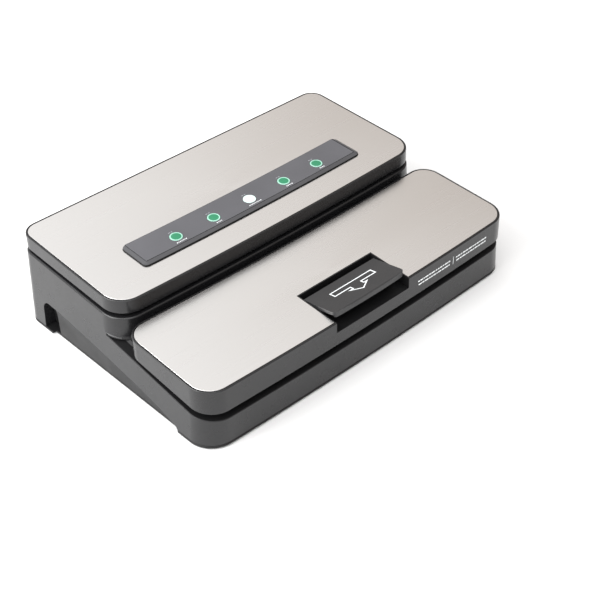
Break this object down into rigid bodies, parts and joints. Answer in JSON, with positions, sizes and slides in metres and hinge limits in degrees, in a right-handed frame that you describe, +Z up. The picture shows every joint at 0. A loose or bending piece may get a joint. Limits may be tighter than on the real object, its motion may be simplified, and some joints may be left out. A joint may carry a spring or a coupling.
{
  "type": "vacuum sealer",
  "caption": "Countertop vacuum bag sealer with a rear lid over a roll bay, a raised button strip, and a latched front lid over a vacuum trough and heater bar.",
  "frame": {"origin": "on the table, under the middle of the machine's bounding box", "axes": "+X to the machine's right along its width, +Y to the rear, +Z up; the user stands at -Y"},
  "size_m": [0.396, 0.282, 0.1018],
  "materials": {
    "black_plastic": "satin moulded black",
    "dark_plastic": "matte black",
    "steel_plate": "finely brushed stainless",
    "zinc_steel": "zinc plated",
    "cast_aluminium": "as cast",
    "panel_grey": "satin grey film",
    "pad_green": "satin green",
    "pad_white": "satin white",
    "foot_rubber": "matte",
    "silicone": "soft matte grey",
    "ptfe_tape": "woven glass and PTFE, brown",
    "circuit_board": "green solder mask"
  },
  "bodies": {
    "base": {"lower_housing": "black_plastic", "bottom_pan": "dark_plastic", "foot_front_left": "foot_rubber", "foot_rear_left": "foot_rubber", "foot_front_right": "foot_rubber", "foot_rear_right": "foot_rubber", "pan_screw_front_left": "zinc_steel", "pan_screw_rear_left": "zinc_steel", "pan_screw_front_right": "zinc_steel", "pan_screw_rear_right": "zinc_steel", "rear_hinge_pin_left": "zinc_steel", "rear_hinge_pin_right": "zinc_steel", "front_hinge_pin_left": "zinc_steel", "front_hinge_pin_right": "zinc_steel", "latch_striker_left": "zinc_steel", "latch_striker_right": "zinc_steel", "vacuum_trough": "dark_plastic", "lower_gasket": "silicone", "heater_bar": "cast_aluminium", "seal_tape": "ptfe_tape", "roll_tray": "dark_plastic", "cutter_rail": "black_plastic", "pump_body": "cast_aluminium", "pump_motor": "zinc_steel", "suction_hose": "silicone", "release_valve": "cast_aluminium", "transformer": "zinc_steel", "power_board": "circuit_board", "power_inlet": "dark_plastic", "lid_switch": "dark_plastic"},
    "rear_lid": {"rear_lid_frame": "black_plastic", "rear_lid_plate": "steel_plate", "rear_lid_liner": "dark_plastic", "panel_bezel": "panel_grey", "button_board": "circuit_board"},
    "front_lid": {"front_lid_frame": "black_plastic", "front_lid_plate": "steel_plate", "front_lid_liner": "dark_plastic", "upper_gasket": "silicone", "press_strip": "silicone", "handle_pin": "zinc_steel"},
    "handle": {"latch_handle": "black_plastic"},
    "latch": {"latch_shaft": "zinc_steel"},
    "cutter": {"cutter_slider": "pad_green", "cutter_blade": "zinc_steel"},
    "fan": {"cooling_fan": "dark_plastic"},
    "plunger": {"switch_plunger": "pad_white"},
    "pad_1": {"button_1": "pad_green"},
    "pad_2": {"button_2": "pad_green"},
    "pad_3": {"button_3": "pad_white"},
    "pad_4": {"button_4": "pad_green"},
    "pad_5": {"button_5": "pad_green"}
  },
  "joints": [
    {"name": "rear_lid_hinge", "type": "hinge", "parent": "base", "child": "rear_lid", "pos_m": [0, 0.1375, 0.0865], "axis": [-1, 0, 0], "range_deg": [0, 75]},
    {"name": "front_lid_hinge", "type": "hinge", "parent": "base", "child": "front_lid", "pos_m": [0, -0.0295, 0.066], "axis": [-1, 0, 0], "range_deg": [0, 65]},
    {"name": "handle_pivot", "type": "hinge", "parent": "front_lid", "child": "handle", "pos_m": [0, -0.098, 0.0636], "axis": [-1, 0, 0], "range_deg": [-12, 25], "stiffness_Nm_per_rad": 0.2},
    {"name": "latch_turn", "type": "hinge", "parent": "front_lid", "child": "latch", "pos_m": [0, -0.1085, 0.0498], "axis": [1, 0, 0], "range_deg": [-25.1, 12.1]},
    {"name": "cutter_slide", "type": "slide", "parent": "base", "child": "cutter", "axis": [1, 0, 0], "range_m": [0, 0.3]},
    {"name": "fan_spin", "type": "hinge", "parent": "base", "child": "fan", "pos_m": [-0.0507, 0.012, 0.025], "axis": [1, 0, 0], "continuous": true},
    {"name": "lid_switch_press", "type": "slide", "parent": "base", "child": "plunger", "axis": [0, 0, 1], "range_m": [-0.002, 0], "stiffness_N_per_m": 100},
    {"name": "button_1_press", "type": "slide", "parent": "rear_lid", "child": "pad_1", "axis": [0, -0.0571, 0.9984], "range_m": [-0.0006, 0], "stiffness_N_per_m": 300},
    {"name": "button_2_press", "type": "slide", "parent": "rear_lid", "child": "pad_2", "axis": [0, -0.0571, 0.9984], "range_m": [-0.0006, 0], "stiffness_N_per_m": 300},
    {"name": "button_3_press", "type": "slide", "parent": "rear_lid", "child": "pad_3", "axis": [0, -0.0571, 0.9984], "range_m": [-0.0006, 0], "stiffness_N_per_m": 300},
    {"name": "button_4_press", "type": "slide", "parent": "rear_lid", "child": "pad_4", "axis": [0, -0.0571, 0.9984], "range_m": [-0.0006, 0], "stiffness_N_per_m": 300},
    {"name": "button_5_press", "type": "slide", "parent": "rear_lid", "child": "pad_5", "axis": [0, -0.0571, 0.9984], "range_m": [-0.0006, 0], "stiffness_N_per_m": 300}
  ],
  "couplings": [
    {"joint": "latch_turn", "follows": "handle_pivot", "ratio": -1}
  ]
}
